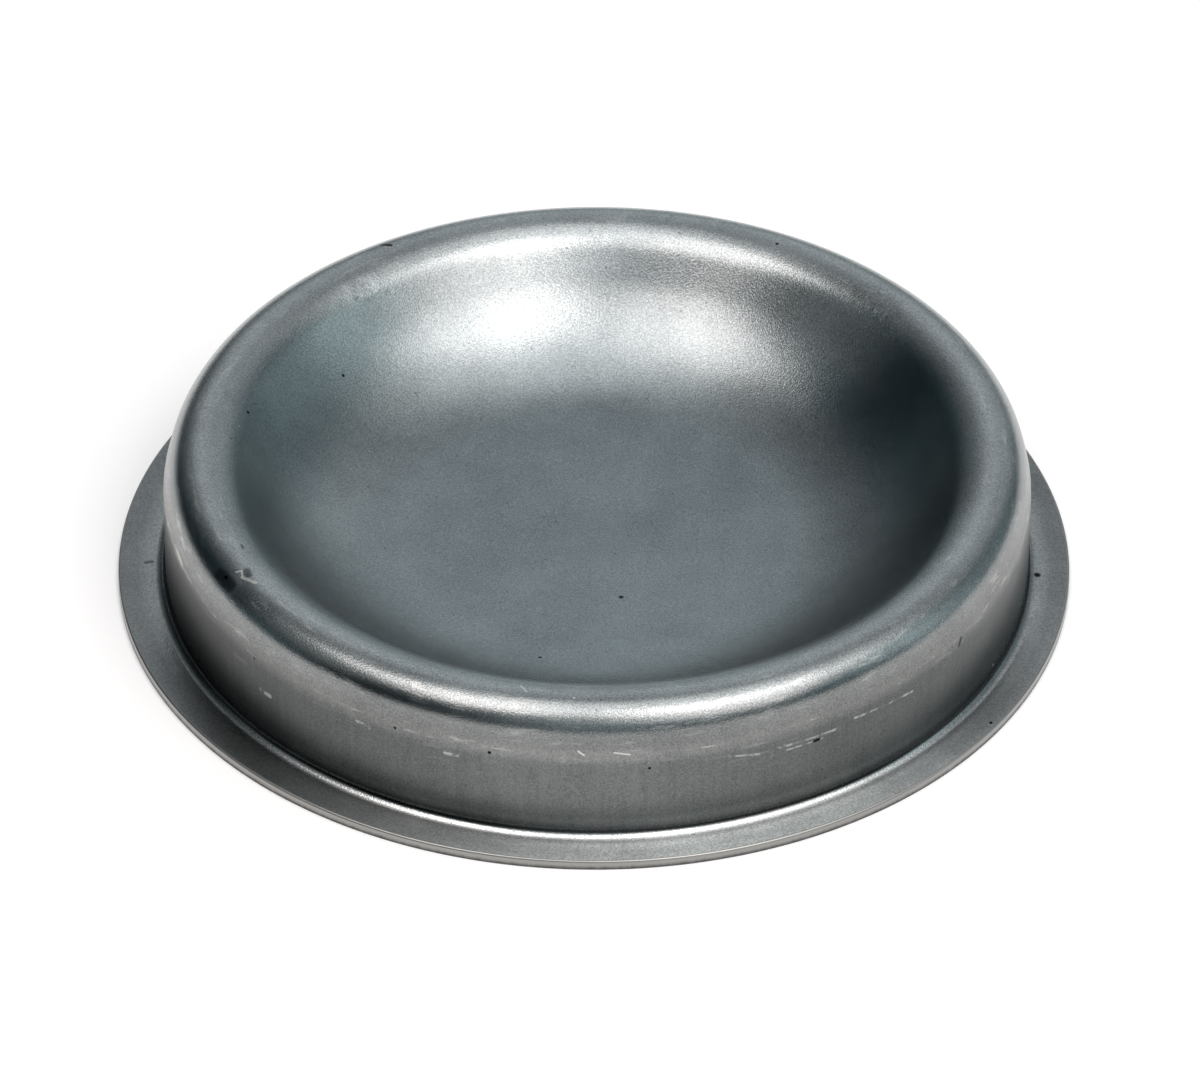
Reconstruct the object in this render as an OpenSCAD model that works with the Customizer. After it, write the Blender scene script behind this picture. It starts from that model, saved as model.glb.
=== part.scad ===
// Grease cup for a wheel hub, pressed in one piece from zinc-plated sheet steel.
// It stands on its flange. The skirt presses into the bore of the hub as far as the
// flange, and the dish behind the rim clears the end of the axle and holds the grease.
// The outer face is one run of tangent arcs and straight stretches. The inner face
// turns about the same centres, one sheet thickness away, so the wall is even all over.

/* [Sheet] */
// Thickness of the sheet
sheet = 0.7; // [0.4:0.05:1.2]
// Radius that blanking leaves along the upper edge of the flange
edge_r = 0.15; // [0.05:0.05:0.35]

/* [Flange] */
// Width of the flange outside the skirt
flange_w = 3.2; // [1.5:0.05:10]
// Outer radius of the bend from the flange to the skirt
bend_r = 0.75; // [0.3:0.05:2.5]

/* [Skirt] */
// Outer diameter of the skirt, which is the press fit in the hub
skirt_d = 62; // [50:0.1:90]
// Height of the cup, from the rest face of the flange to the crest of the rim
cup_h = 11; // [8.5:0.05:14]

/* [Rim] */
// Height of the rim, from the top of the upright skirt to the crest
rim_h = 3.15; // [2.2:0.05:6]
// Outer radius where the skirt turns into the lead-in
lead_r = 1.4; // [0.9:0.1:5]
// Slope of the lead-in, from upright
lead_angle = 14; // [2:0.5:25]
// Outer radius of the shoulder, between the lead-in and the crest
shoulder_r = 2.3; // [1.25:0.05:3.5]
// Width of the level crest
crest_w = 0.1; // [0:0.05:3]
// Outer radius of the roll from the crest down into the dish
roll_r = 3.85; // [1.3:0.05:8]

/* [Dish] */
// Slope of the wall of the dish, from level
wall_angle = 47; // [38:0.5:62]
// Length of the straight part of that wall
wall_len = 2; // [0:0.1:4]
// Outer radius of the floor of the dish, which is part of a sphere
floor_r = 128; // [60:1:400]
// Clearance under the middle of the dish when the cup stands on its flange
under_gap = 1.75; // [0:0.05:4]

/* [Hidden] */
// Largest distance between an arc and its chords
chord_sag = 0.004;
// Points nearer to each other than this are one point
same_point = 0.001;

skirt_r = skirt_d / 2;
flange_r = skirt_r + flange_w;
skirt_top = cup_h - rim_h;
dish_low = under_gap + sheet;

// Outward normals of the lead-in and of the wall of the dish, and the way down that
// wall, all in the plane of the section
lead_out = [cos(lead_angle), sin(lead_angle)];
wall_out = [-sin(wall_angle), cos(wall_angle)];
wall_down = [-cos(wall_angle), -sin(wall_angle)];

// Centres of the bends, each as distance from the axis and height
bend_centre = [skirt_r + bend_r, sheet + bend_r];
lead_centre = [skirt_r - lead_r, skirt_top];
// The shoulder touches the lead-in on one side and the level of the crest on the other
shoulder_z = cup_h - shoulder_r;
shoulder_slip = lead_r - shoulder_r - (shoulder_z - skirt_top) * lead_out.y;
shoulder_centre = [lead_centre.x + shoulder_slip / lead_out.x, shoulder_z];
roll_centre = [shoulder_centre.x - crest_w, cup_h - roll_r];
floor_centre = [0, dish_low + floor_r];

// The corner starts at the foot of the wall and has the one radius that also
// touches the floor from within
wall_foot = roll_centre + roll_r * wall_out + wall_len * wall_down;
foot_from_floor = wall_foot - floor_centre;
foot_depth = floor_r ^ 2 - foot_from_floor * foot_from_floor;
corner_r = foot_depth / (2 * (foot_from_floor * wall_out + floor_r));
corner_centre = wall_foot + corner_r * wall_out;
floor_angle = asin(corner_centre.x / (floor_r - corner_r));

// Points of an arc about a centre, both ends included
function arc(centre, radius, from, to) =
    let (chords = ceil(abs(to - from) / (2 * acos(1 - chord_sag / radius))))
    [for (i = [0:chords])
        let (turn = from + (to - from) * i / chords)
        centre + radius * [cos(turn), sin(turn)]];

// The same run of points, without those that repeat the one before
function distinct(points) =
    [for (i = [0:len(points) - 1])
        if (i == 0 || norm(points[i] - points[max(i - 1, 0)]) > same_point) points[i]];

function reverse(points) = [for (i = [len(points) - 1:-1:0]) points[i]];

// One face of the sheet, from the axis out to the flange, at a depth below the outer face
function face(depth) =
    distinct(concat(
        arc(floor_centre, floor_r + depth, -90, floor_angle - 90),
        arc(corner_centre, corner_r + depth, floor_angle - 90, wall_angle - 90),
        arc(roll_centre, roll_r - depth, wall_angle + 90, 90),
        arc(shoulder_centre, shoulder_r - depth, 90, lead_angle),
        arc(lead_centre, lead_r - depth, lead_angle, 0),
        arc(bend_centre, bend_r + depth, 180, 270)));

// Blanked edge of the flange, round above and square below
function blanked_edge() =
    concat(
        arc([flange_r - edge_r, sheet - edge_r], edge_r, 90, 0),
        [[flange_r, 0]]);

module grease_cup() {
    color("silver")
        rotate_extrude($fn = 180)
            polygon(concat(face(0), blanked_edge(), reverse(face(sheet))));
}

grease_cup();
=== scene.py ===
"""A grease cup for a wheel hub, pressed from zinc-plated sheet steel.

The cup is one piece of sheet. CupSection repeats the sizes of the part's source and works
out the section, PressedCup carries that section round the axis and adds what the press and
handling left on it, and Studio holds the floor, the light and the camera.
"""

import logging
import math
from dataclasses import astuple, dataclass, field
from enum import Enum

import bpy
import numpy as np
from bpy.types import ID, Material, Node, NodeSocket, NodeTree, Object, World
from mathutils import Matrix, Vector


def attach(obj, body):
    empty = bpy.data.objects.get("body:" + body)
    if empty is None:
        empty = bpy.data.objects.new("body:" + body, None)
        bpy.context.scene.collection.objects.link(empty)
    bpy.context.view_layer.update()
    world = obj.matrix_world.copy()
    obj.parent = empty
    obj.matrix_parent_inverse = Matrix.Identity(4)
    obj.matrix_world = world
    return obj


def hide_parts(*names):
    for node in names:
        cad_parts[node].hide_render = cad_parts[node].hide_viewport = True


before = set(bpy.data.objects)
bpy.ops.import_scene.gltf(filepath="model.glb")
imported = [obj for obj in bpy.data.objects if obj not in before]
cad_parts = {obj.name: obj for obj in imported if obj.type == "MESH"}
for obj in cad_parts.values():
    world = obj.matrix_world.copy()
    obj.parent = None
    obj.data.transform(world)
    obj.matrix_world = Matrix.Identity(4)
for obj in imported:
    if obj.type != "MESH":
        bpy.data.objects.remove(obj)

logging.basicConfig(level=logging.INFO, format="%(message)s")
LOG = logging.getLogger("grease_cup")

MM = 0.001
# Widest turn between neighbours on an arc, in degrees
CHORD_TURN = 6
# Points nearer to each other than this, in millimetres, are one point
SAME_POINT = 1e-6
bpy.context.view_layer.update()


class Side(Enum):
    """The two faces of the sheet, as a share of its thickness below the outer face."""

    OUTER = 0.0
    INNER = 1.0


class Stretch(Enum):
    """The stretches of the section, from the axis out, by their place in that order."""

    FLOOR = 0
    CORNER = 1
    ROLL = 2
    SHOULDER = 3
    LEAD_IN = 4
    SKIRT = 5
    BEND = 6
    FLANGE = 7


class Trace(Enum):
    """What a mark is: loose dirt, a stain, a clean scratch, a broken rub mark or a pitted field."""

    DIRT = "dirt"
    STAIN = "stain"
    SCRATCH = "scratch"
    SCUFF = "scuff"
    PITS = "pits"


def linear(colour: str) -> tuple[float, float, float, float]:
    """Turns an sRGB hex colour into the linear colour that a shader takes.

    Args:
        colour: the colour, such as "#8f9598".

    Returns:
        Linear red, green and blue, and an alpha of one.
    """
    steps = [int(colour[i : i + 2], 16) / 255 for i in (1, 3, 5)]
    red, green, blue = (s / 12.92 if s <= 0.04045 else ((s + 0.055) / 1.055) ** 2.4 for s in steps)
    return red, green, blue, 1.0


def put(name: str, data: ID) -> Object:
    """Puts some data in the scene as an object.

    Args:
        name: the object's name.
        data: its mesh, light or camera.

    Returns:
        The object.
    """
    item = bpy.data.objects.new(name, data)
    bpy.context.scene.collection.objects.link(item)
    return item


def cleared(made: Material | World) -> NodeTree:
    """Gives a new material or world a node tree with nothing in it.

    Args:
        made: the material or world.

    Returns:
        Its node tree.
    """
    made.use_nodes = True
    made.node_tree.nodes.clear()
    return made.node_tree


def add_node(tree: NodeTree, kind: str, settings: dict | str | None = None, **inputs: object) -> Node:
    """Adds one node, with its settings, its values and its links.

    Args:
        tree: the node tree that gets the node.
        kind: the node's type without "ShaderNode", such as "TexNoise".
        settings: properties of the node, by name, or its operation alone.
        **inputs: for each input a value, an output socket, or a node, which stands for its first
            output. The input goes by its name with _ for a space, or by its place as in_0, in_1
            and so on.

    Returns:
        The new node.
    """
    node = tree.nodes.new("ShaderNode" + kind)
    if isinstance(settings, str):
        settings = {"operation": settings}
    for name, value in (settings or {}).items():
        setattr(node, name, value)
    for name, value in inputs.items():
        key = int(name[3:]) if name.startswith("in_") else name.replace("_", " ")
        value = value.outputs[0] if isinstance(value, Node) else value
        if isinstance(value, NodeSocket):
            tree.links.new(value, node.inputs[key])
        else:
            node.inputs[key].default_value = value
    return node


@dataclass(frozen=True)
class Band:
    """The values of a texture from low to high, and what they become, held beyond both."""

    low: float
    high: float
    start: float = 0.0
    end: float = 1.0

    def sockets(self) -> dict[str, float]:
        """Gives the four values as the inputs of a Map Range node."""
        return {"From_Min": self.low, "From_Max": self.high, "To_Min": self.start, "To_Max": self.end}


@dataclass(frozen=True)
class Noise:
    """A cloudy texture: the width of its cells in millimetres, and how much finer detail it has."""

    width: float
    detail: float
    roughness: float

    def sockets(self) -> dict[str, float]:
        """Gives the three values as the inputs of a Noise Texture node on a place in metres."""
        return {"Scale": 1 / (self.width * MM), "Detail": self.detail, "Roughness": self.roughness}


@dataclass(frozen=True)
class Streak:
    """A streaked texture: its cells to the radian round the axis and to the millimetre along."""

    around: float
    along: float
    detail: float
    roughness: float = 0.65


@dataclass(frozen=True)
class Polish:
    """How one stretch is finished: its tone and its share of the cool cast, both partly painted light and
    shade, and its roughness.
    """

    tone: float
    roughness: float
    cast: float


@dataclass(frozen=True)
class Arc:
    """One arc of the section, about a centre given as distance from the axis and height.

    The arc runs from the angle start to the angle end, both in degrees.
    """

    centre: np.ndarray
    radius: float
    start: float
    end: float

    def points(self, step: float) -> np.ndarray:
        """Works out centre + radius * (cos, sin) at even angles, both ends included.

        Args:
            step: the largest distance between neighbours, in millimetres.

        Returns:
            The points, one row each.
        """
        turned = math.radians(abs(self.end - self.start))
        least = math.ceil(turned / math.radians(CHORD_TURN))
        count = max(math.ceil(turned * self.radius / step), least, 1)
        angle = np.radians(np.linspace(self.start, self.end, count + 1))
        return self.centre + self.radius * np.stack([np.cos(angle), np.sin(angle)], axis=1)


@dataclass
class CupSection:
    """The section of the cup, in millimetres and degrees, named as in the part's source."""

    sheet: float = 0.7
    edge_r: float = 0.15
    flange_w: float = 3.2
    bend_r: float = 0.75
    skirt_d: float = 62.0
    cup_h: float = 11.0
    rim_h: float = 3.15
    lead_r: float = 1.4
    lead_angle: float = 14.0
    shoulder_r: float = 2.3
    crest_w: float = 0.1
    roll_r: float = 3.85
    wall_angle: float = 47.0
    wall_len: float = 2.0
    floor_r: float = 128.0
    under_gap: float = 1.75

    @property
    def skirt_r(self) -> float:
        """Outer radius of the skirt."""
        return self.skirt_d / 2

    @property
    def flange_r(self) -> float:
        """Outer radius of the flange."""
        return self.skirt_r + self.flange_w

    def arcs(self, side: Side) -> list[Arc]:
        """Lists the arcs of one face, from the axis out to the flange.

        The arcs of both faces turn about the same centres. The corner of the dish starts at the
        foot of the straight wall and has the radius c that also touches the floor from within:
        c = (R^2 - |P - F|^2) / (2 ((P - F) . n + R)), where P is the foot of the wall, n the
        wall's normal, and F and R the centre and radius of the floor.

        Args:
            side: the face of the sheet.

        Returns:
            Floor, corner, roll, shoulder, lead-in and bend.
        """
        depth = side.value * self.sheet
        wall, lead = math.radians(self.wall_angle), math.radians(self.lead_angle)
        skirt_top = self.cup_h - self.rim_h
        lead_at = np.array([self.skirt_r - self.lead_r, skirt_top])
        shoulder_z = self.cup_h - self.shoulder_r
        slip = self.lead_r - self.shoulder_r - (shoulder_z - skirt_top) * math.sin(lead)
        shoulder_at = np.array([lead_at[0] + slip / math.cos(lead), shoulder_z])
        roll_at = np.array([shoulder_at[0] - self.crest_w, self.cup_h - self.roll_r])
        out = np.array([-math.sin(wall), math.cos(wall)])
        down = np.array([-math.cos(wall), -math.sin(wall)])
        floor_at = np.array([0.0, self.under_gap + self.sheet + self.floor_r])
        foot = roll_at + self.roll_r * out + self.wall_len * down
        offset = foot - floor_at
        corner_r = (self.floor_r**2 - offset @ offset) / (2 * (offset @ out + self.floor_r))
        corner_at = foot + corner_r * out
        floor_turn = math.degrees(math.asin(corner_at[0] / (self.floor_r - corner_r)))
        bend_at = np.array([self.skirt_r + self.bend_r, self.sheet + self.bend_r])
        return [
            Arc(floor_at, self.floor_r + depth, -90, floor_turn - 90),
            Arc(corner_at, corner_r + depth, floor_turn - 90, self.wall_angle - 90),
            Arc(roll_at, self.roll_r - depth, self.wall_angle + 90, 90),
            Arc(shoulder_at, self.shoulder_r - depth, 90, self.lead_angle),
            Arc(lead_at, self.lead_r - depth, self.lead_angle, 0),
            Arc(bend_at, self.bend_r + depth, 180, 270),
        ]

    def face(self, side: Side, step: float) -> np.ndarray:
        """Joins the arcs of one face by straight stretches.

        Args:
            side: the face of the sheet.
            step: the largest distance between neighbours, in millimetres.

        Returns:
            Points from the axis out to the end of the bend, one row each.
        """
        parts: list[np.ndarray] = []
        for arc in self.arcs(side):
            points = arc.points(step)
            if parts:
                last = parts[-1][-1]
                gap = float(np.linalg.norm(points[0] - last))
                between = np.linspace(0, 1, max(math.ceil(gap / step), 1) + 1)[1:-1, None]
                parts.append(last + between * (points[0] - last))
                points = points[int(gap < SAME_POINT) :]
            parts.append(points)
        return np.concatenate(parts)

    def edge(self, step: float) -> tuple[np.ndarray, np.ndarray]:
        """Works out the flat of the flange and its blanked edge.

        Args:
            step: the largest distance between neighbours, in millimetres.

        Returns:
            The points of the flange's upper side beyond the bend, and those of the cut edge.
        """
        bend_end = self.skirt_r + self.bend_r
        flat_end = self.flange_r - self.edge_r
        count = math.ceil((flat_end - bend_end) / step)
        across = np.linspace(bend_end, flat_end, count + 1)[1:]
        flat = np.stack([across, np.full(count, self.sheet)], axis=1)
        corner = Arc(np.array([flat_end, self.sheet - self.edge_r]), self.edge_r, 90, 0)
        rounded = corner.points(self.edge_r / 3)[1:]
        rows = 4
        low = np.linspace(self.sheet - self.edge_r, 0, rows + 1)[1:]
        square = np.stack([np.full(rows, self.flange_r), low], axis=1)
        return flat, np.concatenate([rounded, square])

    def stations(self) -> dict[Stretch, float]:
        """Works out the run at the middle of each stretch of the outer face.

        The run is the way along the section from the axis. An arc's share of it is its radius
        times its turn, and a straight stretch's is the distance between two arcs.

        Returns:
            The run at the middle, in millimetres, for each stretch.
        """
        arcs = self.arcs(Side.OUTER)
        ends = [arc.points(arc.radius * math.pi)[[0, -1]] for arc in arcs]
        lengths = [arc.radius * math.radians(abs(arc.end - arc.start)) for arc in arcs]
        gaps = [float(np.linalg.norm(b[0] - a[1])) for a, b in zip(ends, ends[1:])]
        starts = np.cumsum([0.0] + [length + gap for length, gap in zip(lengths, gaps + [0.0])])
        *upper, skirt, bend, flange = Stretch
        bent = zip([*upper, bend], starts, lengths)
        middles = {stretch: start + length / 2 for stretch, start, length in bent}
        middles[skirt] = starts[-2] - gaps[-1] / 2
        middles[flange] = starts[-1] + (self.flange_w - self.bend_r) / 2
        return middles


@dataclass(frozen=True)
class Dent:
    """A shallow mark in the outer face, as handling leaves it.

    It lies at an angle about the axis and at a run, the way along the section from the middle
    of the dish. Length, width and depth are in millimetres, and lean turns it off the section.
    """

    turn: float
    run: float
    length: float
    width: float
    depth: float
    lean: float = 0.0


@dataclass(frozen=True)
class Mark:
    """A mark on the outer face: a dot, or a line to a second place.

    A place is a turn about the axis, in degrees, and a run, the way along the section from the
    middle of the dish, in millimetres. The width is in millimetres too.
    """

    trace: Trace
    turn: float
    run: float
    width: float
    end_turn: float | None = None
    end_run: float | None = None


@dataclass(frozen=True)
class PaintedLightPatch:
    """A patch painted lighter or darker on one side of the cup, painted light and shade,
    by a bell curve of the angle.

    The turn and the span are in degrees, the gain is the share that it adds to the tone, and
    rough is what it adds to the roughness.
    """

    turn: float
    span: float
    gain: float
    rough: float = 0.0

    def bell(self, angle: np.ndarray) -> np.ndarray:
        """Works out exp(-((angle - turn) / span)^2) for angles in degrees."""
        return np.exp(-(((angle - self.turn) / self.span) ** 2))


@dataclass(frozen=True)
class Line:
    """A mark's place in the cup's own space: both ends, and its width, in metres."""

    start: Vector
    end: Vector
    width: float


@dataclass(frozen=True)
class ZincPlatedSteel:
    """Sheet steel, plated with zinc and left satin by the press.

    The zinc gives a neutral grey with a fine grain that glitters in the highlights, cloudy
    where the plating is thicker. Each stretch of the section has its own tone, roughness
    and share of the cool cast, and these tones and casts are partly painted light: the roll of
    the rim and the bend are brightest as painted highlights, the dish is bluest, partly the
    zinc's own tint and partly a painted reflection of the cool surroundings, and the skirt,
    which the die dragged, is streaked upright and dullest as painted shade.
    """

    bright: str = "#afb1b1"
    dull: str = "#808283"
    scuffed: str = "#d4d4d0"
    # The dirt colour also darkens the pits' hollows, as painted shade
    dirt: str = "#101011"
    warm: str = "#fffdfa"
    cool: str = "#ebf6fa"
    # The zinc's own grain is too fine to show, and is drawn two pixels of the picture wide
    grain: Noise = Noise(width=0.13, detail=3.0, roughness=0.6)
    pit: Noise = Noise(width=0.55, detail=3.0, roughness=0.6)
    cloud: Noise = Noise(width=7.0, detail=6.0, roughness=0.62)
    # Width of the ground between two flecks of dirt
    fleck_mm: float = 1.4
    # Half a millimetre on the skirt is 62 drag marks to the radian
    drag: Streak = Streak(around=62.0, along=0.16, detail=3.0)
    rubbing: Streak = Streak(around=9.0, along=1.6, detail=6.0)
    # What the textures do to the share of bright zinc, to the tone and to the roughness
    cloud_share: Band = Band(0.32, 0.68, 0.3, 0.7)
    grain_share: Band = Band(0.28, 0.72, -0.5, 0.5)
    drag_tone: Band = Band(0.35, 0.65, -0.06, 0.06)
    cloud_gloss: Band = Band(0.3, 0.7, -0.02, 0.02)
    # How strong the wear, the dirt and the painted shade in the pits' hollows are
    rub_wear: Band = Band(0.57, 0.72)
    scuff_wear: Band = Band(0.43, 0.55, 0.05, 0.5)
    pit_hollow_shade: Band = Band(0.3, 0.42, 0.45, 0.0)
    fleck_dirt: Band = Band(0.04, 0.075, 0.45, 0.0)
    stain_dirt: float = 0.6
    worn_gloss: float = 0.12
    # A mark is whole within the first share of its width and gone at the second
    mark_edge: tuple[float, float] = (0.35, 0.65)
    # Depth of the grain and of the drag marks, and how much deeper the pits are than the grain
    grain_deep_mm: float = 0.016
    drag_deep_mm: float = 0.005
    pit_deep: float = 1.6
    pit_trace: float = 0.1
    # Tones are partly painted light and shade: the skirt, lead-in and flange painted darker, the roll and
    # bend painted brighter
    finish: dict[Stretch, Polish] = field(
        default_factory=lambda: {
            Stretch.FLOOR: Polish(0.86, 0.24, 1.0),
            Stretch.CORNER: Polish(1.06, 0.21, 0.65),
            Stretch.ROLL: Polish(1.15, 0.19, 0.5),
            Stretch.SHOULDER: Polish(1.05, 0.2, 0.4),
            Stretch.LEAD_IN: Polish(0.6, 0.29, 0.0),
            Stretch.SKIRT: Polish(0.33, 0.3, 0.3),
            Stretch.BEND: Polish(1.15, 0.16, 0.2),
            Stretch.FLANGE: Polish(0.66, 0.28, 0.3),
        }
    )

    def mask(self, tree: NodeTree, place: NodeSocket, lines: list[Line]) -> Node | float:
        """Adds the nodes that say how near a point lies to any of some lines.

        With s the way from a line's start to the point and d the line, the nearest place on it
        is t d with t = (s . d) / (d . d) held between 0 and 1. The mask goes by the distance
        from there as a share of the line's width, and falls from 1 to 0 over mark_edge.

        Args:
            tree: the node tree.
            place: the point, in metres.
            lines: the lines.

        Returns:
            The mask, or 0 where there are no lines.
        """
        found: Node | float = 0.0
        for line in lines:
            way = line.end - line.start
            from_start = add_node(tree, "VectorMath", "SUBTRACT", in_0=place, in_1=tuple(line.start))
            nearest: Node | tuple[float, ...] = (0.0, 0.0, 0.0)
            if way.length > 0:
                share = tuple(way / way.length_squared)
                along = add_node(tree, "VectorMath", "DOT_PRODUCT", in_0=from_start, in_1=share)
                held = add_node(tree, "Clamp", Value=along.outputs["Value"])
                nearest = add_node(tree, "VectorMath", "SCALE", in_0=tuple(way), Scale=held)
            gap = add_node(tree, "VectorMath", "DISTANCE", in_0=from_start, in_1=nearest)
            whole, gone = (edge * line.width for edge in self.mark_edge)
            fall = Band(whole, gone, 1.0, 0.0)
            spot = add_node(tree, "MapRange", Value=gap.outputs["Value"], **fall.sockets())
            found = add_node(tree, "Math", "MAXIMUM", in_0=found, in_1=spot)
        return found

    def streaks(self, tree: NodeTree, place: NodeSocket, run: NodeSocket) -> list[Node]:
        """Adds the two streaked textures, which follow the cup round its axis.

        A point's direction from the axis, times a scale, is a place on a circle, and its run is
        the third coordinate, so the streaks meet at every angle and run true on every stretch.

        Args:
            tree: the node tree.
            place: the point, in metres.
            run: the point's run, in millimetres.

        Returns:
            The upright drag marks, fine round the skirt, and the rub marks, fine along the
            section, both from 0 to 1.
        """
        level = add_node(tree, "VectorMath", "MULTIPLY", in_0=place, in_1=(1, 1, 0))
        around = add_node(tree, "VectorMath", "NORMALIZE", in_0=level)
        along = add_node(tree, "CombineXYZ", Z=run)
        textures = []
        for streak in (self.drag, self.rubbing):
            spread = add_node(tree, "VectorMath", "SCALE", in_0=around, Scale=streak.around)
            drawn = (0, 0, streak.along)
            where = add_node(tree, "VectorMath", "MULTIPLY_ADD", in_0=along, in_1=drawn, in_2=spread)
            finer = {"Detail": streak.detail, "Roughness": streak.roughness}
            textures.append(add_node(tree, "TexNoise", Vector=where, Scale=1.0, **finer))
        return textures

    def material(self, lines: dict[Trace, list[Line]]) -> Material:
        """Builds the plated face's material.

        Args:
            lines: the marks on the face, by what they are.

        Returns:
            The material.
        """
        made = bpy.data.materials.new("zinc_plated_satin_steel")
        tree = cleared(made)
        place = add_node(tree, "TexCoord").outputs["Object"]
        run, tone, satin, cast, skirt, rub = (
            add_node(tree, "Attribute", {"attribute_name": name}).outputs["Fac"]
            for name in ("run", "tone", "satin", "cast", "skirt", "rub")
        )
        grain, pits, cloud = (
            add_node(tree, "TexNoise", Vector=place, **noise.sockets())
            for noise in (self.grain, self.pit, self.cloud)
        )
        drag, rubbing = self.streaks(tree, place, run)
        dirt, stains, scratches, scuffs, pitted = (
            self.mask(tree, place, lines[trace]) for trace in Trace
        )

        # Colour: clouds and grain between the dull and the bright zinc, then the stretch's tone, partly
        # painted light and shade
        clouds = add_node(tree, "MapRange", Value=cloud, **self.cloud_share.sockets())
        fine = add_node(tree, "MapRange", Value=grain, **self.grain_share.sockets())
        share = add_node(tree, "Math", {"use_clamp": True}, in_0=clouds, in_1=fine)
        colours = {"data_type": "RGBA"}
        dull, bright = linear(self.dull), linear(self.bright)
        plate = add_node(tree, "Mix", colours, in_0=share, in_6=dull, in_7=bright)
        streak = add_node(tree, "MapRange", Value=drag, **self.drag_tone.sockets())
        streaked = add_node(tree, "Math", "MULTIPLY_ADD", in_0=streak, in_1=skirt, in_2=1.0)
        gain = add_node(tree, "Math", "MULTIPLY", in_0=streaked, in_1=tone)
        # The cool cast is partly the zinc's own tint and partly a painted reflection of the cool
        # surroundings
        warm, cool = linear(self.warm), linear(self.cool)
        tint = add_node(tree, "Mix", colours, in_0=cast, in_6=warm, in_7=cool)
        tinted = add_node(tree, "VectorMath", "MULTIPLY", in_0=plate.outputs[2], in_1=tint.outputs[2])
        toned = add_node(tree, "VectorMath", "SCALE", in_0=tinted, Scale=gain)

        # Wear: thin bright lines round the rim, broken rub marks on the skirt, and scratches
        worn = add_node(tree, "MapRange", Value=rubbing, **self.rub_wear.sockets())
        rubbed = add_node(tree, "Math", "MULTIPLY", in_0=worn, in_1=rub)
        broken = add_node(tree, "MapRange", Value=pits, **self.scuff_wear.sockets())
        scraped = add_node(tree, "Math", "MULTIPLY", in_0=scuffs, in_1=broken)
        scored = add_node(tree, "Math", "MAXIMUM", in_0=scraped, in_1=scratches)
        wear = add_node(tree, "Math", "MAXIMUM", in_0=rubbed, in_1=scored)
        scuffed = add_node(tree, "Mix", colours, in_0=wear, in_6=toned, in_7=linear(self.scuffed))

        # Dirt: single grains, stains and faint flecks all over, and painted shade in the bottoms of the
        # pits
        hollow_shade = add_node(tree, "MapRange", Value=pits, **self.pit_hollow_shade.sockets())
        shaded_hollows = add_node(tree, "Math", "MULTIPLY", in_0=hollow_shade, in_1=pitted)
        cells = add_node(tree, "TexVoronoi", Vector=place, Scale=1 / (self.fleck_mm * MM))
        fleck = add_node(tree, "MapRange", Value=cells.outputs["Distance"], **self.fleck_dirt.sockets())
        stained = add_node(tree, "Math", "MULTIPLY_ADD", in_0=stains, in_1=self.stain_dirt, in_2=fleck)
        ground = add_node(tree, "Math", "MAXIMUM", in_0=shaded_hollows, in_1=stained)
        soil = add_node(tree, "Math", "MAXIMUM", in_0=ground, in_1=dirt)
        clean, dark = scuffed.outputs[2], linear(self.dirt)
        soiled = add_node(tree, "Mix", colours, in_0=soil, in_6=clean, in_7=dark)

        # Gloss: the stretch's own, rougher in the clouds and where the face is rubbed
        cloudy = add_node(tree, "MapRange", Value=cloud, **self.cloud_gloss.sockets())
        base = add_node(tree, "Math", "ADD", in_0=satin, in_1=cloudy)
        rough = add_node(tree, "Math", "MULTIPLY_ADD", in_0=wear, in_1=self.worn_gloss, in_2=base)

        # Relief: the grain of the zinc, deeper in the pitted fields, and the drag marks
        deep = add_node(tree, "Math", "MULTIPLY_ADD", in_0=pitted, in_1=self.pit_deep, in_2=self.pit_trace)
        relief = add_node(tree, "Math", "MULTIPLY_ADD", in_0=pits, in_1=deep, in_2=grain)
        bump = add_node(tree, "Bump", Strength=1.0, Distance=self.grain_deep_mm * MM, Height=relief)
        drag_bump = add_node(
            tree, "Bump", Strength=skirt, Distance=self.drag_deep_mm * MM, Height=drag, Normal=bump
        )
        metal = add_node(
            tree,
            "BsdfPrincipled",
            Metallic=1.0,
            Base_Color=soiled.outputs[2],
            Roughness=rough,
            Normal=drag_bump,
        )
        add_node(tree, "OutputMaterial", Surface=metal)
        return made


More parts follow.
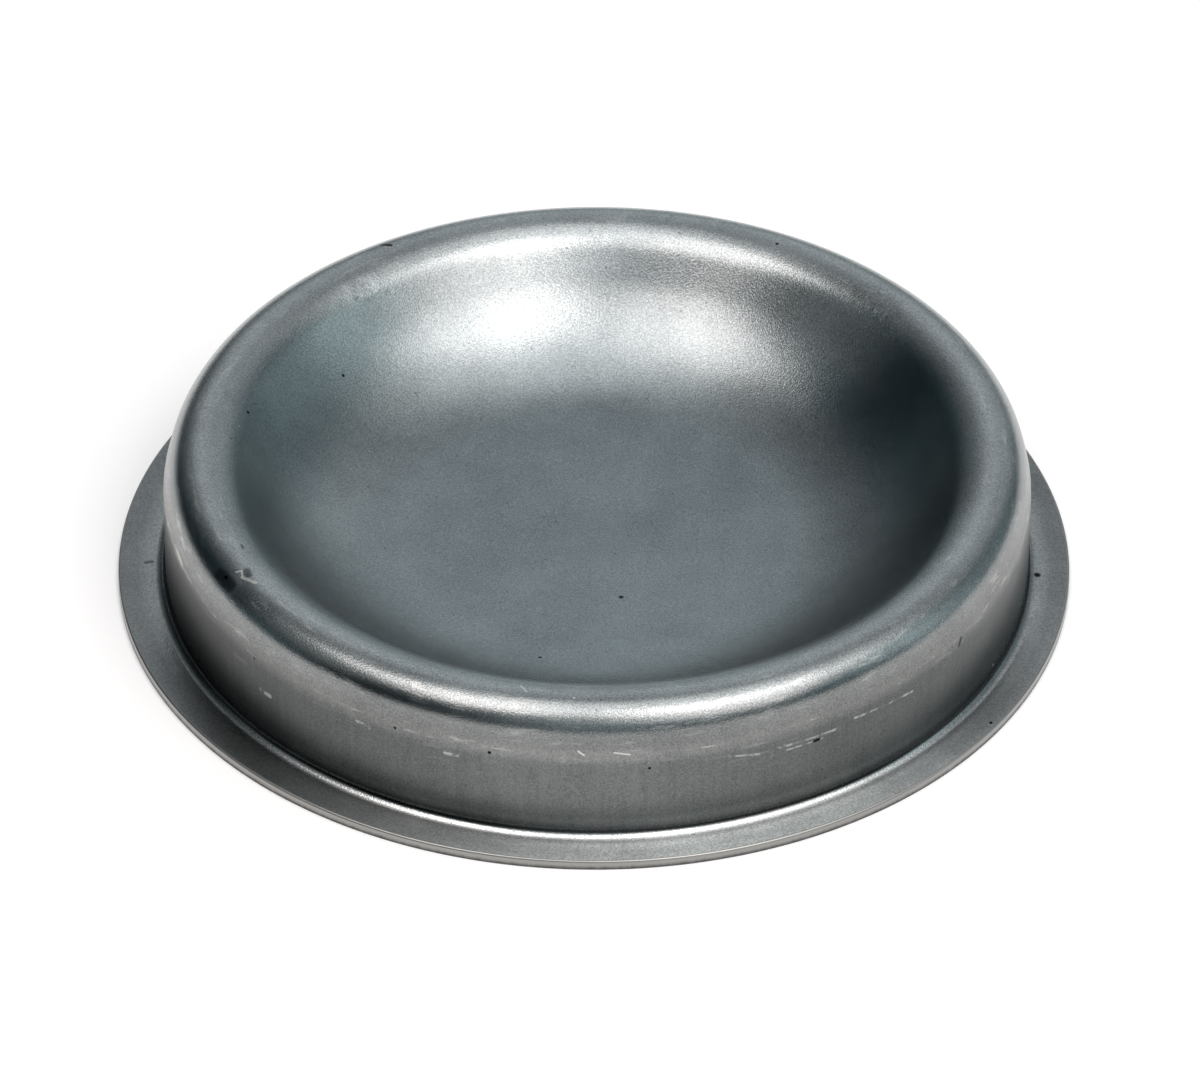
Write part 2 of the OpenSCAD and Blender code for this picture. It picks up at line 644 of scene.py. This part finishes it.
@dataclass(frozen=True)
class ShearedSteel:
    """The edge that the blanking punch cut: burnished bright at the top, torn and darker below, partly
    painted shade near the floor.

    It gives the flange a thin bright line with fine upright tears.
    """

    burnished: str = "#9c9b98"
    torn_and_shaded: str = "#4c4c4c"
    roughness: float = 0.3
    # The tears, how far they are drawn out upright, their depth and how sharply they stand out
    tear: Noise = Noise(width=0.5, detail=4.0, roughness=0.7)
    tear_stretch: float = 0.12
    tear_deep_mm: float = 0.02
    tear_relief: float = 0.4
    # How the height above the rest face, in metres, adds to the burnished share: the edge is painted
    # darker near the floor, partly painted shade
    burnish: Band = Band(0.05 * MM, 0.5 * MM, -0.5)

    def material(self) -> Material:
        """Builds the cut edge's material: tears round the edge, upright and of uneven width.

        Returns:
            The material.
        """
        made = bpy.data.materials.new("sheared_steel_edge")
        tree = cleared(made)
        place = add_node(tree, "TexCoord").outputs["Object"]
        stretched = add_node(tree, "VectorMath", "MULTIPLY", in_0=place, in_1=(1, 1, self.tear_stretch))
        tears = add_node(tree, "TexNoise", Vector=stretched, **self.tear.sockets())
        parts = add_node(tree, "SeparateXYZ", Vector=place)
        # Darker towards the floor: the torn zone, and partly painted shade
        depth = add_node(tree, "MapRange", Value=parts.outputs["Z"], **self.burnish.sockets())
        share = add_node(tree, "Math", {"use_clamp": True}, in_0=tears, in_1=depth)
        torn_and_shaded, burnished = linear(self.torn_and_shaded), linear(self.burnished)
        shade = add_node(tree, "Mix", {"data_type": "RGBA"}, in_0=share, in_6=torn_and_shaded, in_7=burnished)
        bump = add_node(
            tree, "Bump", Strength=self.tear_relief, Distance=self.tear_deep_mm * MM, Height=tears
        )
        metal = add_node(
            tree,
            "BsdfPrincipled",
            Metallic=1.0,
            Base_Color=shade.outputs[2],
            Roughness=self.roughness,
            Normal=bump,
        )
        add_node(tree, "OutputMaterial", Surface=metal)
        return made


@dataclass
class PressedCup:
    """The cup itself: its section carried round the axis, with the marks of use."""

    section: CupSection
    plated: ZincPlatedSteel
    sheared: ShearedSteel
    dents: list[Dent]
    marks: list[Mark]
    off_centre: tuple[float, float] = (0.2, -0.3)
    # Swells to the turn, height in millimetres and phase of each wave
    waves: tuple[tuple[int, float, float], ...] = ((3, 0.02, 0.7), (5, 0.012, 2.1))
    # The waves are whole from this radius on, and rise from this height over this distance
    wave_radius: float = 12.0
    wave_foot: float = 2.0
    wave_rise: float = 4.0
    # Painted light: the flange's front is painted brighter as a painted reflection, and made rougher
    flange_painted_light_and_rub: PaintedLightPatch = PaintedLightPatch(turn=284, span=44, gain=2.1, rough=0.45)
    # Painted light and shade: the skirt is painted brighter at the front and darker on the left
    skirt_painted_light: tuple[PaintedLightPatch, ...] = (PaintedLightPatch(turn=270, span=30, gain=0.65), PaintedLightPatch(turn=196, span=20, gain=-0.5))
    # Depth of the painted crease shade at the root of the bend, its place beside the bend's middle, and
    # its widths
    crease_shade_depth: float = 0.9
    crease_shade_shift: float = -0.12
    crease_shade_width: tuple[float, float] = (1.3, 0.1)
    # Where the flange takes over beyond the bend's middle, and how sharply each end of the skirt does
    foot_shift: float = 0.5
    foot_sharp: float = 0.15
    top_sharp: float = 0.25
    # Widths of the rub marks about the shoulder and the lead-in, and the shoulder's share
    shoulder_width: float = 3.2
    kink_width: float = 0.45
    shoulder_rub: float = 0.7
    # How far a stretch's own finish reaches either side of its middle, where it is more than 0
    holds: dict[Stretch, float] = field(
        default_factory=lambda: {Stretch.FLOOR: 6.0, Stretch.SKIRT: 2.2}
    )
    # Points round the cup, and the widest gaps between rings on the outer and the inner face
    turns: int = 480
    outer_step: float = 0.46
    inner_step: float = 2.4

    def profile(self) -> tuple[np.ndarray, np.ndarray, int, int]:
        """Runs once round the section, from the outer pole to the inner one.

        Returns:
            The points, the run of each (the way along the section from the outer pole), and the
            indices at which the cut edge starts and ends.
        """
        outer = self.section.face(Side.OUTER, self.outer_step)
        flat, cut = self.section.edge(self.outer_step)
        inner = self.section.face(Side.INNER, self.inner_step)[::-1]
        points = np.concatenate([outer, flat, cut, inner])
        run = np.concatenate([[0.0], np.cumsum(np.linalg.norm(np.diff(points, axis=0), axis=1))])
        cut_start = len(outer) + len(flat) - 1
        return points, run, cut_start, cut_start + len(cut)

    def carried(self, radius: np.ndarray) -> np.ndarray:
        """Works out how far the trimmed blank moves a ring off centre.

        The blank was trimmed a little off centre, so the cup stands off the middle of its
        flange. Inside the flange a ring has the whole of off_centre, and on the flange a share
        that falls evenly to nothing just short of its edge.

        Args:
            radius: the distance of each ring from the axis, in millimetres.

        Returns:
            The move in X and Y of each ring, one row each, in millimetres.
        """
        bend_end = self.section.skirt_r + self.section.bend_r
        edge = self.section.flange_r - 2 * self.section.edge_r
        share = np.clip((edge - radius) / (edge - bend_end), 0, 1)
        return share[:, None] * np.array(self.off_centre)

    def place(self, turn: float, run: float) -> Vector:
        """Finds a place on the outer face.

        Args:
            turn: the angle about the axis, in degrees.
            run: the way along the section from the middle of the dish, in millimetres.

        Returns:
            The place, in metres.
        """
        points, runs, cut_start, _ = self.profile()
        radius = np.interp(run, runs[:cut_start], points[:cut_start, 0])
        height = np.interp(run, runs[:cut_start], points[:cut_start, 1])
        move = self.carried(np.array([radius]))[0]
        angle = math.radians(turn)
        across = radius * np.array([math.cos(angle), math.sin(angle)]) + move
        return Vector((across[0], across[1], height)) * MM

    def lines(self) -> dict[Trace, list[Line]]:
        """Sorts the marks by what they are and finds their places.

        Returns:
            For each kind of trace its lines, which is an empty list where there are none.
        """
        found: dict[Trace, list[Line]] = {trace: [] for trace in Trace}
        for mark in self.marks:
            start = self.place(mark.turn, mark.run)
            end = start
            if mark.end_turn is not None and mark.end_run is not None:
                end = self.place(mark.end_turn, mark.end_run)
            found[mark.trace].append(Line(start, end, mark.width * MM))
        return found

    def surface(self, points: np.ndarray, run: np.ndarray, cut_start: int) -> np.ndarray:
        """Works out every ring of the surface.

        A ring at distance r and height z is (r cos t, r sin t, z) for even angles t. The dents
        push it along the section's normal by the sum of depth * exp(-(u/length)^2 - (v/width)^2),
        where u runs along the section and v round the cup, both turned by the dent's lean. The
        waves, each height * sin(count * t + phase), stand for the press's own unevenness and
        fade out at the axis and on the flange.

        Args:
            points: the section's points.
            run: the run of each point.
            cut_start: the index at which the cut edge starts.

        Returns:
            An array of rings by angles by three, in millimetres.
        """
        angle = np.linspace(0, 2 * math.pi, self.turns, endpoint=False)
        along = np.gradient(points, axis=0)
        normal = np.stack([-along[:, 1], along[:, 0]], axis=1)
        normal /= np.linalg.norm(normal, axis=1, keepdims=True)
        push = np.zeros((len(points), self.turns))
        for dent in self.dents:
            u = (run - dent.run)[:, None]
            apart = (angle - math.radians(dent.turn) + math.pi) % (2 * math.pi) - math.pi
            v = points[:, :1] * apart[None, :]
            lean = math.radians(dent.lean)
            long, wide = u * math.cos(lean) + v * math.sin(lean), v * math.cos(lean) - u * math.sin(lean)
            push -= dent.depth * np.exp(-((long / dent.length) ** 2) - (wide / dent.width) ** 2)
        rise = np.clip(points[:, 0] / self.wave_radius, 0, 1)
        rise *= np.clip((points[:, 1] - self.wave_foot) / self.wave_rise, 0, 1)
        wave = sum(height * np.sin(count * angle + phase) for count, height, phase in self.waves)
        push += rise[:, None] * wave[None, :]
        push[cut_start:] = 0
        moved = points[:, None, :] + push[:, :, None] * normal[:, None, :]
        rings = np.stack(
            [moved[..., 0] * np.cos(angle), moved[..., 0] * np.sin(angle), moved[..., 1]], axis=2
        )
        rings[..., :2] += self.carried(points[:, 0])[:, None, :]
        return rings

    def finish(self, run: np.ndarray) -> dict[str, np.ndarray]:
        """Works out how the outer face is finished at each ring and angle.

        Tone, roughness and cast are the plating's values at the middle of each stretch, with
        straight lines between; the tones and the casts are partly painted light and shade. On a
        stretch that holds names they stay the same for that many millimetres either side of the
        middle. At the front the flange and the skirt are painted brighter, a painted reflection
        of light, and the flange is rougher there; on the left the skirt is painted darker, painted
        shade. The root of the bend is painted dark as shade in the crease, by exp(-(d/w)^2), with
        one width w towards the skirt and a smaller one towards the flange. The skirt is a product
        of two smooth steps, and the rub marks are bell curves about the shoulder and the lead-in.

        Args:
            run: the run of each ring.

        Returns:
            The run, tone, satin, cast, skirt and rub attributes, as arrays of rings by angles.
        """
        at = self.section.stations()
        holds = {stretch: self.holds.get(stretch, 0.0) for stretch in Stretch}
        ends = [at[stretch] + way * hold for stretch, hold in holds.items() for way in (-1, 1)]
        values = np.array([astuple(self.plated.finish[stretch]) for stretch in Stretch])
        values = values.repeat(2, axis=0)
        tone, satin, cast = (np.interp(run, ends, column) for column in values.T)
        angle = np.linspace(0, 360, self.turns, endpoint=False)
        low = 1 / (1 + np.exp(-(run - at[Stretch.BEND] - self.foot_shift) / self.foot_sharp))
        upright = 1 / (1 + np.exp(-(run - at[Stretch.LEAD_IN]) / self.top_sharp)) * (1 - low)
        shoulder = np.exp(-(((run - at[Stretch.SHOULDER]) / self.shoulder_width) ** 2))
        kink = np.exp(-(((run - at[Stretch.LEAD_IN]) / self.kink_width) ** 2))
        # The root of the bend is painted darker: painted shade in the crease
        off_crease_shade = run - at[Stretch.BEND] - self.crease_shade_shift
        root = np.exp(-((off_crease_shade / np.where(off_crease_shade < 0, *self.crease_shade_width)) ** 2))
        tone *= 1 - self.crease_shade_depth * root
        flat = np.ones(self.turns)
        # The flange's front is painted brighter, a painted reflection of light, and made rougher
        rubbed = low[:, None] * self.flange_painted_light_and_rub.bell(angle)
        gain = self.flange_painted_light_and_rub.gain * rubbed
        # The skirt is painted brighter at the front and darker on the left: painted light and shade
        for rub in self.skirt_painted_light:
            gain += rub.gain * upright[:, None] * rub.bell(angle)
        return {
            "run": run[:, None] * flat,
            "tone": tone[:, None] * (1 + gain),
            "satin": satin[:, None] + self.flange_painted_light_and_rub.rough * rubbed,
            "cast": cast[:, None] * flat,
            "skirt": upright[:, None] * flat,
            "rub": np.maximum(self.shoulder_rub * shoulder, kink)[:, None] * flat,
        }

    def build(self) -> Object:
        """Makes the mesh: rings joined by four-sided faces, with one point at each pole.

        Returns:
            The cup, with its attributes and its two materials, under the root body.
        """
        points, run, cut_start, cut_end = self.profile()
        rings, turns = self.surface(points, run, cut_start), self.turns
        middle = rings[1:-1]
        count = len(middle)
        vertices = np.concatenate([rings[0, :1], middle.reshape(-1, 3), rings[-1, :1]]) * MM
        here = np.arange(turns)
        there = (here + 1) % turns
        row = 1 + np.arange(count - 1)[:, None] * turns
        quads = np.stack([row + here, row + turns + here, row + turns + there, row + there], axis=2)
        quads = quads.reshape(-1, 4)
        low = 1 + (count - 1) * turns
        top_fan = np.stack([np.zeros(turns, int), 1 + here, 1 + there], axis=1)
        end_fan = np.stack([np.full(turns, len(vertices) - 1), low + there, low + here], axis=1)
        corners = np.concatenate([top_fan.ravel(), quads.ravel(), end_fan.ravel()])
        sizes = np.concatenate([np.full(turns, 3), np.full(len(quads), 4), np.full(turns, 3)])

        mesh = bpy.data.meshes.new("pressed_cup")
        mesh.vertices.add(len(vertices))
        mesh.vertices.foreach_set("co", vertices.astype(np.float32).ravel())
        mesh.loops.add(len(corners))
        mesh.loops.foreach_set("vertex_index", corners.astype(np.int32))
        mesh.polygons.add(len(sizes))
        mesh.polygons.foreach_set("loop_start", (np.cumsum(sizes) - sizes).astype(np.int32))
        mesh.polygons.foreach_set("use_smooth", np.ones(len(sizes), bool))
        slots = np.zeros(len(sizes), np.int32)
        slots[cut_start * turns : cut_end * turns] = 1
        mesh.polygons.foreach_set("material_index", slots)
        mesh.update(calc_edges=True)

        for name, value in self.finish(run).items():
            spread = np.concatenate([value[0, :1], value[1:-1].ravel(), value[-1, :1]])
            layer = mesh.attributes.new(name, "FLOAT", "POINT")
            layer.data.foreach_set("value", spread.astype(np.float32))

        # The lower corner of the cut edge is the one sharp edge of the cup
        ends = np.zeros(len(mesh.edges) * 2, np.int32)
        mesh.edges.foreach_get("vertices", ends)
        first = 1 + (cut_end - 1) * turns
        sharp = ((ends >= first) & (ends < first + turns)).reshape(-1, 2).all(axis=1)
        mesh.attributes.new("sharp_edge", "BOOLEAN", "EDGE").data.foreach_set("value", sharp)

        mesh.materials.append(self.plated.material(self.lines()))
        mesh.materials.append(self.sheared.material())
        mesh.validate()
        piece = put("pressed_cup", mesh)
        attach(piece, "root")
        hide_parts("grease_cup")
        return piece


@dataclass(frozen=True)
class Lamp:
    """A soft lamp: where it stands as seen from the cup, its size and how bright it looks.

    Side and height are angles in degrees: side from straight overhead towards the right, and
    height from the horizon on the camera's side. Width and depth are in metres.
    """

    name: str
    side: float
    height: float
    width: float
    depth: float
    radiance: float
    distance: float = 1.2
    colour: str = "#fff6f3"


@dataclass(frozen=True)
class SkyStop:
    """One level of the sky: where it is, how bright it is there, and its cast."""

    at: float
    level: float
    cast: str = "#ffffff"


@dataclass(frozen=True)
class Shot:
    """The camera: the photograph's angle above the floor, through a long lens.

    The height is in degrees above the floor, and the distance in flange radii from the middle of
    the rest face. The camera looks there, apart from a yaw, a pitch and a roll in radians. The lens
    and the width of the picture are in pixels.
    """

    height: float = 37.97
    distance: float = 21.052
    yaw: float = -0.0006
    pitch: float = 0.0024
    roll: float = 0.0021
    lens_px: float = 10000.0
    picture_px: float = 1200.0
    sensor_mm: float = 36.0
    # The nearest and the furthest thing that the camera sees, in metres
    near: float = 0.05
    far: float = 10.0


@dataclass
class Studio:
    """A white floor, four soft lamps overhead, a soft sky and the camera.

    The stops over the top go by the angle from the far horizon, 90 overhead and 180 on the
    camera's horizon. The stops across go by the angle from the middle, to the left and right.
    The sky is sky_peak bright where both are at 1.
    """

    flange_r: float
    lamps: tuple[Lamp, ...] = (
        Lamp("lamp_far_left", -46.0, 78.0, 0.7, 0.75, 0.18),
        Lamp("lamp_left", -21.5, 77.0, 0.52, 0.82, 2.35),
        Lamp("lamp_middle", 13.0, 68.5, 0.44, 0.58, 2.1),
        Lamp("lamp_right", 28.0, 60.0, 0.75, 1.18, 1.5),
    )
    over: tuple[SkyStop, ...] = (
        SkyStop(0, 0.22, "#d6edf2"),
        SkyStop(30, 0.46, "#f4faff"),
        SkyStop(60, 0.28, "#f4faff"),
        SkyStop(78, 0.96),
        SkyStop(100, 1.0),
        SkyStop(118, 0.62),
        SkyStop(135, 0.44, "#eef7fb"),
        SkyStop(152, 0.32, "#dceff6"),
        SkyStop(180, 0.22, "#e4f3f8"),
    )
    across: tuple[SkyStop, ...] = (
        SkyStop(-85, 0.22, "#a6ccd6"),
        SkyStop(-62, 0.035, "#a0cad8"),
        SkyStop(-42, 0.115, "#a8d0dc"),
        SkyStop(-20, 0.33),
        SkyStop(-10, 0.66),
        SkyStop(0, 1.0),
        SkyStop(12, 0.76),
        SkyStop(26, 0.72),
        SkyStop(45, 0.36, "#dff1f5"),
        SkyStop(75, 0.62, "#dff1f5"),
    )
    sky_peak: float = 2.05
    shot: Shot = Shot()
    # Half the floor's side, in metres, and how far it lies below the rest face, clear of it
    floor_half: float = 1.5
    floor_drop_mm: float = 0.02
    floor_colour: str = "#f2f2f2"
    floor_glow: float = 0.15

    def floor(self) -> None:
        """Makes the floor, white to the camera and in reflections but still shaded by the cup."""
        corners = np.array([[-1, -1, 0], [1, -1, 0], [1, 1, 0], [-1, 1, 0]]) * self.floor_half
        corners[:, 2] = -self.floor_drop_mm * MM
        mesh = bpy.data.meshes.new("floor")
        mesh.from_pydata(corners.tolist(), [], [(0, 1, 2, 3)])
        made = bpy.data.materials.new("matt_white_card")
        tree = cleared(made)
        rays = add_node(tree, "LightPath")
        seen = add_node(
            tree, "Math", "MAXIMUM", in_0=rays.outputs["Is Camera Ray"], in_1=rays.outputs["Is Glossy Ray"]
        )
        shown = add_node(tree, "Math", "MAXIMUM", in_0=seen, in_1=rays.outputs["Is Transmission Ray"])
        share = add_node(tree, "Math", "MULTIPLY", in_0=shown, in_1=self.floor_glow)
        card = add_node(
            tree,
            "BsdfPrincipled",
            Base_Color=linear(self.floor_colour),
            Roughness=0.9,
            Specular_IOR_Level=0.0,
        )
        glow = add_node(tree, "Emission", Color=(1, 1, 1, 1), Strength=share)
        both = add_node(tree, "AddShader", in_0=card, in_1=glow)
        add_node(tree, "OutputMaterial", Surface=both)
        mesh.materials.append(made)
        put("floor", mesh)

    def world(self) -> None:
        """Fills the sky with the product of the stops over the top and the stops across.

        The first go by the angle atan2(z, y) of a direction as a share of half a turn, and the
        second by its x, moved to the range from 0 to 1.
        """
        world = bpy.data.worlds.new("studio")
        bpy.context.scene.world = world
        tree = cleared(world)
        way = add_node(tree, "TexCoord").outputs["Generated"]
        parts = add_node(tree, "SeparateXYZ", Vector=way)
        angle = add_node(tree, "Math", "ARCTAN2", in_0=parts.outputs["Z"], in_1=parts.outputs["Y"])
        over = add_node(tree, "Math", "DIVIDE", in_0=angle, in_1=math.pi)
        across = add_node(tree, "Math", "MULTIPLY_ADD", in_0=parts.outputs["X"], in_1=0.5, in_2=0.5)
        shares = [stop.at / 180 for stop in self.over]
        sines = [(1 + math.sin(math.radians(stop.at))) / 2 for stop in self.across]
        ramps = []
        for place, stops, ats in ((over, self.over, shares), (across, self.across, sines)):
            ramp = add_node(tree, "ValToRGB", Fac=place)
            elements = ramp.color_ramp.elements
            while len(elements) < len(stops):
                elements.new(0.5)
            for element, stop, at in zip(elements, stops, ats):
                element.position = at
                element.color = [stop.level * part for part in linear(stop.cast)[:3]] + [1.0]
            ramps.append(ramp)
        sky = add_node(tree, "VectorMath", "MULTIPLY", in_0=ramps[0], in_1=ramps[1])
        light = add_node(tree, "Background", Color=sky, Strength=self.sky_peak)
        add_node(tree, "OutputWorld", Surface=light)

    def light(self) -> None:
        """Hangs the lamps, each facing the cup. Its power is its radiance times pi times its area."""
        for lamp in self.lamps:
            side, height = math.radians(lamp.side), math.radians(lamp.height)
            forward = Vector((0, -math.cos(height), math.sin(height)))
            sideways = Vector((1, 0, 0))
            way = sideways * math.sin(side) + forward * math.cos(side)
            right = sideways * math.cos(side) - forward * math.sin(side)
            data = bpy.data.lights.new(lamp.name, "AREA")
            data.shape = "RECTANGLE"
            data.size, data.size_y = lamp.width, lamp.depth
            data.energy = lamp.radiance * math.pi * lamp.width * lamp.depth
            data.color = linear(lamp.colour)[:3]
            item = put(lamp.name, data)
            item.location = way * lamp.distance
            item.rotation_euler = Matrix((right, way.cross(right), way)).transposed().to_euler()
            LOG.info("%s: %.2f W", lamp.name, data.energy)

    def camera(self) -> None:
        """Sets the camera: it looks at the middle of the rest face, then turns by the shot's angles."""
        shot = self.shot
        height, away = math.radians(shot.height), shot.distance * self.flange_r * MM
        place = Vector((0, -away * math.cos(height), away * math.sin(height)))
        ahead = -place.normalized()
        right = Vector((1, 0, 0))
        above = right.cross(ahead)
        turned = Matrix.Rotation(shot.yaw, 3, above)
        ahead, right = turned @ ahead, turned @ right
        tipped = Matrix.Rotation(shot.pitch, 3, right)
        ahead, above = tipped @ ahead, tipped @ above
        right, above = (
            right * math.cos(shot.roll) + above * math.sin(shot.roll),
            above * math.cos(shot.roll) - right * math.sin(shot.roll),
        )
        data = bpy.data.cameras.new("camera")
        data.sensor_fit = "HORIZONTAL"
        data.sensor_width = shot.sensor_mm
        data.lens = shot.sensor_mm * shot.lens_px / shot.picture_px
        data.clip_start, data.clip_end = shot.near, shot.far
        item = put("camera", data)
        item.rotation_mode = "QUATERNION"
        item.rotation_quaternion = Matrix((right, above, -ahead)).transposed().to_quaternion()
        item.location = place
        bpy.context.scene.camera = item

    def build(self) -> None:
        """Sets up the whole studio."""
        self.floor()
        self.world()
        self.light()
        self.camera()
        bpy.context.scene.view_settings.view_transform = "Standard"


def dents() -> list[Dent]:
    """Lists the dents: one knock on the left of the rim, and bruises at the back of it."""
    return [
        Dent(turn=211.0, run=31.2, length=0.7, width=0.5, depth=0.05, lean=30),
        Dent(turn=212.5, run=31.8, length=0.5, width=0.9, depth=0.03, lean=-20),
        Dent(turn=40.5, run=30.0, length=0.6, width=1.6, depth=0.03),
        Dent(turn=37.0, run=29.3, length=0.5, width=1.0, depth=0.03, lean=20),
        Dent(turn=130.5, run=28.8, length=0.6, width=1.3, depth=0.025),
        Dent(turn=92.0, run=29.3, length=0.5, width=1.1, depth=0.02),
    ]


def marks() -> list[Mark]:
    """Lists the marks of handling, each where the photograph shows it."""
    dirt, stain, scratch, scuff, pits = Trace
    return [
        # Grains of dirt in the dish and on the rim
        Mark(dirt, 284.6, 6.9, 0.34),
        Mark(dirt, 254.6, 15.1, 0.28),
        Mark(dirt, 143.6, 23.9, 0.26),
        Mark(dirt, 167.6, 27.8, 0.26),
        Mark(dirt, 122.8, 31.6, 0.3, 121.9, 31.1),
        Mark(dirt, 61.9, 30.4, 0.25),
        Mark(dirt, 79.9, 31.9, 0.2, 79.1, 31.9),
        # Grains on the skirt and in the root of the bend
        Mark(dirt, 256.2, 35.9, 0.26),
        Mark(dirt, 276.8, 36.7, 0.22),
        Mark(dirt, 219.4, 35.9, 0.22),
        Mark(dirt, 243.2, 35.7, 0.22),
        Mark(dirt, 325.6, 35.7, 0.28, 325.2, 36.2),
        Mark(dirt, 299.3, 37.3, 0.24, 299.9, 37.3),
        Mark(dirt, 357.2, 42.9, 0.5),
        Mark(dirt, 352.0, 41.8, 0.4),
        Mark(dirt, 326.2, 44.9, 0.26),
        Mark(stain, 180.7, 43.6, 0.3, 180.4, 43.2),
        Mark(stain, 204.4, 29.9, 0.2, 205.2, 29.95),
        # The knock on the left of the rim: dirt in it and bright metal beside it
        Mark(stain, 210.4, 30.9, 0.55, 211.3, 31.05),
        Mark(dirt, 211.2, 31.05, 0.16),
        Mark(dirt, 209.3, 32.4, 0.4),
        Mark(stain, 208.0, 32.6, 0.9, 211.0, 32.5),
        Mark(scratch, 211.1, 31.5, 0.28, 213.4, 31.1),
        Mark(scratch, 211.1, 31.5, 0.14, 210.0, 31.2),
        Mark(scratch, 210.0, 31.2, 0.14, 209.7, 31.6),
        # Thin scratches on the rim and along the lead-in
        Mark(scratch, 259.1, 30.2, 0.13, 260.2, 30.8),
        Mark(scratch, 267.7, 35.1, 0.14, 268.4, 35.4),
        Mark(scratch, 272.3, 35.2, 0.12, 274.3, 35.4),
        Mark(scratch, 266.9, 31.1, 0.2),
        Mark(scratch, 172.0, 28.1, 0.16),
        Mark(scratch, 335.0, 41.6, 0.2),
        # Broken rub marks round the skirt
        Mark(scuff, 294.0, 36.9, 0.22, 303.1, 37.0),
        Mark(scuff, 295.2, 37.3, 0.13, 300.5, 37.3),
        Mark(scuff, 305.5, 36.7, 0.2, 315.4, 37.1),
        Mark(scuff, 286.0, 36.5, 0.17, 291.5, 37.0),
        Mark(scuff, 250.2, 36.7, 0.25, 251.9, 36.7),
        Mark(scuff, 237.6, 36.3, 0.3, 239.3, 36.5),
        Mark(scuff, 220.7, 38.3, 0.35, 222.5, 38.3),
        # Fields of pits on the back of the rim
        Mark(pits, 43.0, 29.9, 2.4, 37.5, 29.6),
        Mark(pits, 131.5, 28.6, 2.0, 128.5, 28.6),
        Mark(pits, 93.5, 29.5, 1.6, 90.0, 29.1),
    ]


def main() -> None:
    """Builds the cup and the studio, in order."""
    section = CupSection()
    cup = PressedCup(
        section=section,
        plated=ZincPlatedSteel(),
        sheared=ShearedSteel(),
        dents=dents(),
        marks=marks(),
    )
    piece = cup.build()
    LOG.info("%s: %d points, %d faces", piece.name, len(piece.data.vertices), len(piece.data.polygons))
    Studio(flange_r=section.flange_r).build()
    LOG.info("studio: floor, world, lamps and camera")


if __name__ == "__main__":
    main()
